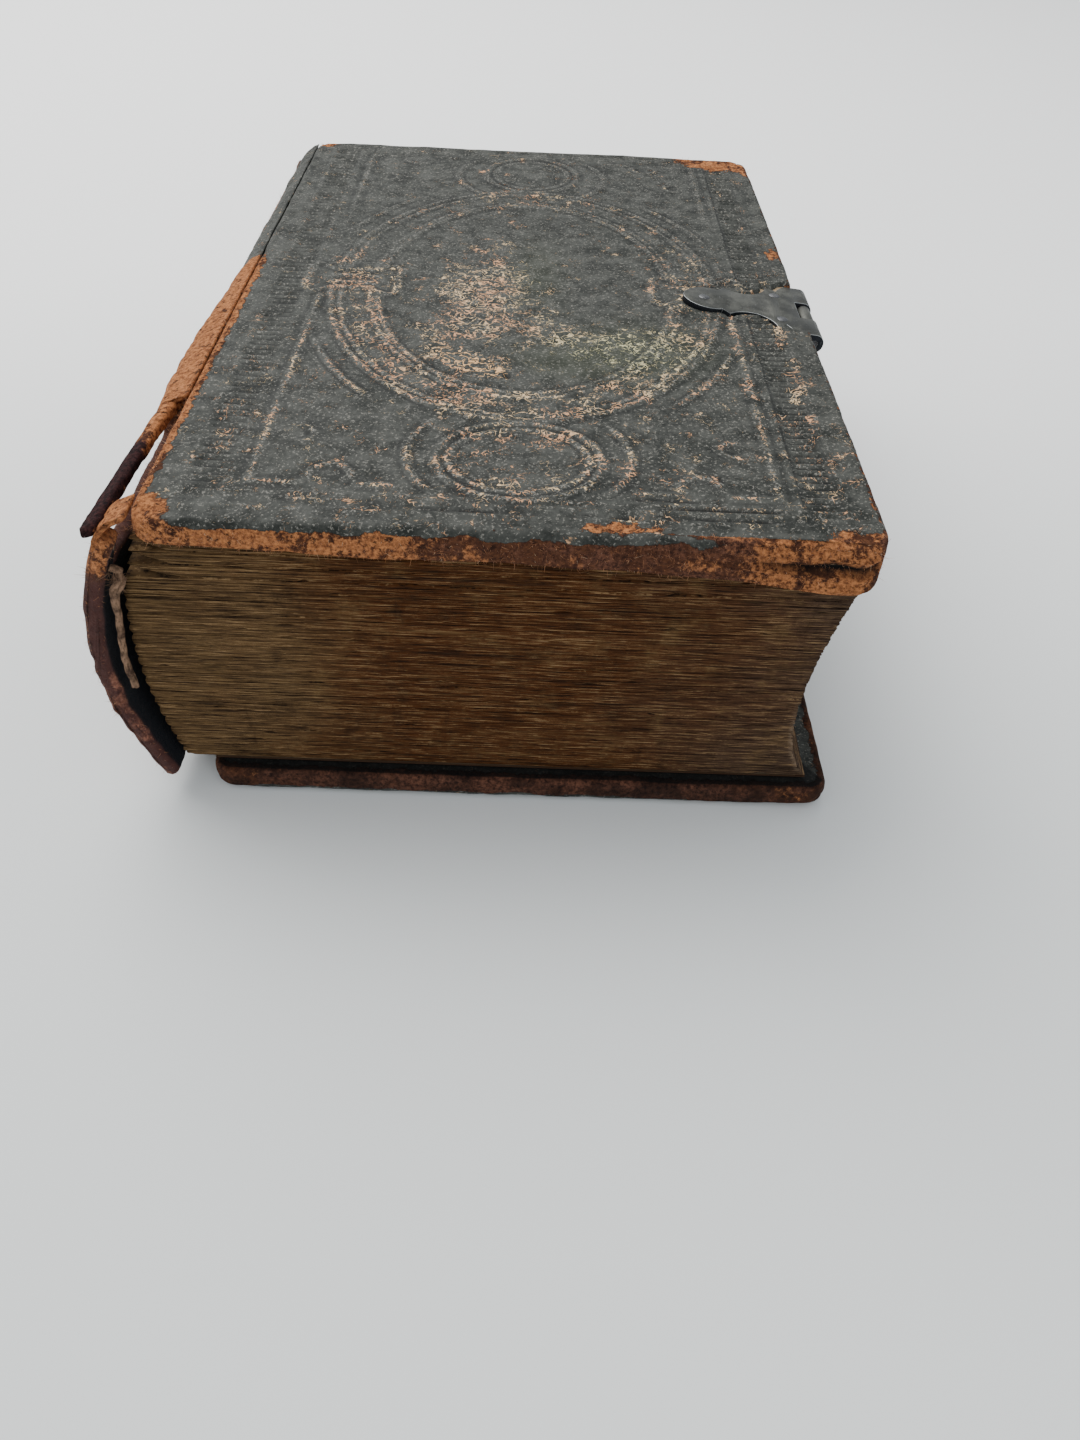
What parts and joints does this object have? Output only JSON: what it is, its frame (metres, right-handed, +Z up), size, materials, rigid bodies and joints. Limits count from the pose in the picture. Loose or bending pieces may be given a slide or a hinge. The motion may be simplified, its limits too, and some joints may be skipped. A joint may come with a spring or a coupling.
{
  "type": "prayer book",
  "caption": "Thick old prayer book in blocked leather, with hinged covers, turning gatherings, a loose hollow spine and a swinging metal clasp.",
  "frame": {"origin": "centre of the lower cover's outer face, on the surface that the closed book lies on", "axes": "+X from the spine to the fore-edge, +Y from the tail to the head, +Z up through the closed book from the lower cover to the upper cover"},
  "size_m": [0.1301, 0.171, 0.0588],
  "materials": {
    "leaves": "matt, darkened edges",
    "flyleaf_paper": "matt, aged",
    "pastedown_paper": "matt, aged",
    "cover_leather": "dull, worn, blocked in relief",
    "spine_leather": "dull, rubbed",
    "worn_leather": "suede-like",
    "millboard": "matt, fibrous",
    "inlay_card": "matt",
    "linen_cord": "matt, twisted",
    "lining_cloth": "matt, open weave",
    "endband_core": "matt, frayed",
    "clasp_steel": "dark, dull, worn",
    "rivet_steel": "dull",
    "pin_steel": "dull"
  },
  "bodies": {
    "text_block": {"gathering_04": "leaves", "gathering_05": "leaves", "gathering_06": "leaves", "gathering_07": "leaves", "gathering_08": "leaves", "gathering_09": "leaves", "gathering_10": "leaves", "gathering_11": "leaves", "gathering_12": "leaves", "gathering_13": "leaves", "gathering_14": "leaves", "gathering_15": "leaves", "gathering_16": "leaves", "gathering_17": "leaves", "gathering_18": "leaves", "gathering_19": "leaves", "gathering_20": "leaves", "sewing_cords": "linen_cord", "kettle_stitches": "linen_cord", "spine_lining": "lining_cloth", "head_endband_core": "endband_core", "tail_endband_core": "endband_core"},
    "upper_cover": {"upper_leather": "cover_leather", "upper_board": "millboard", "upper_pastedown": "pastedown_paper", "hinge_plate": "clasp_steel", "hinge_plate_rivets": "rivet_steel", "hasp_hinge_pin": "pin_steel"},
    "lower_cover": {"lower_leather": "cover_leather", "lower_board": "millboard", "lower_pastedown": "pastedown_paper", "catch_plate": "clasp_steel", "catch_plate_rivets": "rivet_steel", "catch_bar": "pin_steel"},
    "spine_cover": {"spine_leather": "spine_leather", "spine_inlay": "inlay_card", "upper_joint_leather": "worn_leather", "torn_spine_strip": "worn_leather"},
    "turning_gathering_1": {"gathering_01": "leaves"},
    "turning_gathering_2": {"gathering_02": "leaves"},
    "turning_gathering_3": {"gathering_03": "leaves"},
    "front_leaf": {"front_flyleaf": "flyleaf_paper"},
    "rear_leaf": {"rear_flyleaf": "flyleaf_paper"},
    "hasp": {"clasp_hasp": "clasp_steel"}
  },
  "joints": [
    {"name": "upper_cover_hinge", "type": "hinge", "parent": "text_block", "child": "upper_cover", "pos_m": [-0.0575, 0, 0.0575], "axis": [0, -1, 0], "range_deg": [0, 180]},
    {"name": "lower_cover_hinge", "type": "hinge", "parent": "text_block", "child": "lower_cover", "pos_m": [-0.0548, 0, 0], "axis": [0, 1, 0], "range_deg": [0, 180]},
    {"name": "spine_cover_flap", "type": "hinge", "parent": "text_block", "child": "spine_cover", "pos_m": [-0.0575, 0, 0.0575], "axis": [0, 1, 0], "range_deg": [0, 20]},
    {"name": "gathering_01_turn", "type": "hinge", "parent": "text_block", "child": "turning_gathering_1", "pos_m": [-0.059, 0, 0.0518], "axis": [0, -1, 0], "range_deg": [0, 68.9]},
    {"name": "gathering_02_turn", "type": "hinge", "parent": "text_block", "child": "turning_gathering_2", "pos_m": [-0.0597, 0, 0.04949], "axis": [0, -1, 0], "range_deg": [0, 47.3]},
    {"name": "gathering_03_turn", "type": "hinge", "parent": "text_block", "child": "turning_gathering_3", "pos_m": [-0.06032, 0, 0.04719], "axis": [0, -1, 0], "range_deg": [0, 25.7]},
    {"name": "front_flyleaf_turn", "type": "hinge", "parent": "upper_cover", "child": "front_leaf", "pos_m": [-0.0572, 0, 0.0524], "axis": [0, -1, 0], "range_deg": [-27.5, 0]},
    {"name": "rear_flyleaf_turn", "type": "hinge", "parent": "lower_cover", "child": "rear_leaf", "pos_m": [-0.0545, 0, 0.0051], "axis": [0, 1, 0], "range_deg": [-27.5, 0]},
    {"name": "hasp_swing", "type": "hinge", "parent": "upper_cover", "child": "hasp", "pos_m": [0.0534, -0.004, 0.05458], "axis": [0, -1, 0], "range_deg": [-2.4, 150]}
  ],
  "couplings": [
    {"joint": "gathering_01_turn", "follows": "upper_cover_hinge", "ratio": 0.38},
    {"joint": "gathering_02_turn", "follows": "upper_cover_hinge", "ratio": 0.26},
    {"joint": "gathering_03_turn", "follows": "upper_cover_hinge", "ratio": 0.14},
    {"joint": "front_flyleaf_turn", "follows": "upper_cover_hinge", "ratio": -0.15},
    {"joint": "rear_flyleaf_turn", "follows": "lower_cover_hinge", "ratio": -0.15}
  ]
}
